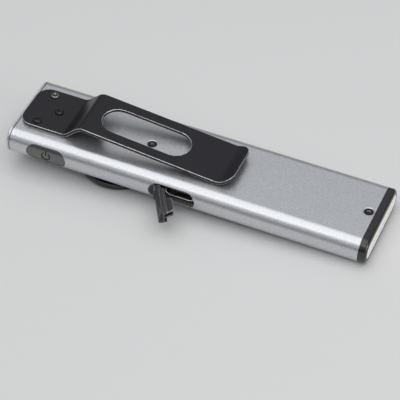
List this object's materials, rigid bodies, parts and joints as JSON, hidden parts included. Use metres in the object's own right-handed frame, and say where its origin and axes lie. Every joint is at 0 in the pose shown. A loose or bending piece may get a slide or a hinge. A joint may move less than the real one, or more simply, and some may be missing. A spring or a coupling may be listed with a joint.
{
  "type": "flat pocket flashlight",
  "caption": "Slim flat aluminium pocket flashlight with a steel pocket clip, a side button, a round thumb switch and a charging socket under a hinged rubber flap.",
  "frame": {"origin": "middle of the flat end face of the tail cap", "axes": "+X along the body from the tail to the lens, +Z out of the back that carries the pocket clip, -Y out of the side with the button and the charging socket"},
  "size_m": [0.11, 0.0374, 0.0169],
  "materials": {
    "blasted_aluminium": "bead-blasted and clear anodised, fine grain",
    "black_anodised": "satin black anodised aluminium",
    "black_steel": "satin black coated spring steel",
    "milky_lens": "milky diffusing window",
    "grey_rubber": "matte moulded silicone",
    "seal_rubber": "matte black",
    "white_plastic": "white",
    "emitter": "phosphor yellow",
    "plain_aluminium": "mill finish",
    "bright_steel": "bright plated",
    "black_plastic": "moulded",
    "board_green": "solder mask",
    "foam_grey": "matte",
    "cell_foil": "laminated foil",
    "wire_red": "insulation",
    "wire_black": "insulation"
  },
  "bodies": {
    "light": {"body_shell": "blasted_aluminium", "tail_cap": "blasted_aluminium", "tail_seal": "seal_rubber", "head_bezel": "black_anodised", "head_seal": "seal_rubber", "lens": "milky_lens", "lens_seal": "seal_rubber", "reflector": "white_plastic", "led_board": "white_plastic", "led_1": "emitter", "led_2": "emitter", "led_3": "emitter", "led_4": "emitter", "heat_sink": "plain_aluminium", "pocket_clip": "black_steel", "clip_screw_1": "black_steel", "clip_screw_2": "black_steel", "clip_screw_3": "black_steel", "body_screw_mid": "black_steel", "body_screw_head": "black_steel", "side_switch": "bright_steel", "usb_socket_shell": "bright_steel", "usb_socket_tongue": "black_plastic", "port_cover_anchor": "grey_rubber", "thumb_switch_ring": "black_anodised", "thumb_switch_body": "bright_steel", "circuit_board": "board_green", "driver_chip": "black_plastic", "power_coil": "foam_grey", "chassis": "black_plastic", "battery_cell": "cell_foil", "battery_pad": "foam_grey", "battery_lead_red": "wire_red", "battery_lead_black": "wire_black", "led_wire_red": "wire_red", "led_wire_black": "wire_black"},
    "button": {"side_button": "grey_rubber", "side_switch_plunger": "black_plastic"},
    "thumb": {"thumb_switch_cap": "grey_rubber", "thumb_switch_plunger": "black_plastic"},
    "flap": {"port_flap": "grey_rubber"}
  },
  "joints": [
    {"name": "side_button_press", "type": "slide", "parent": "light", "child": "button", "axis": [0, 1, 0], "range_m": [0, 0.0004], "stiffness_N_per_m": 800},
    {"name": "thumb_switch_press", "type": "slide", "parent": "light", "child": "thumb", "axis": [0, 0, 1], "range_m": [0, 0.0004], "stiffness_N_per_m": 800},
    {"name": "port_flap_hinge", "type": "hinge", "parent": "light", "child": "flap", "pos_m": [0.047, -0.01335, 0], "axis": [0, 0, 1], "range_deg": [-46, 60]}
  ]
}
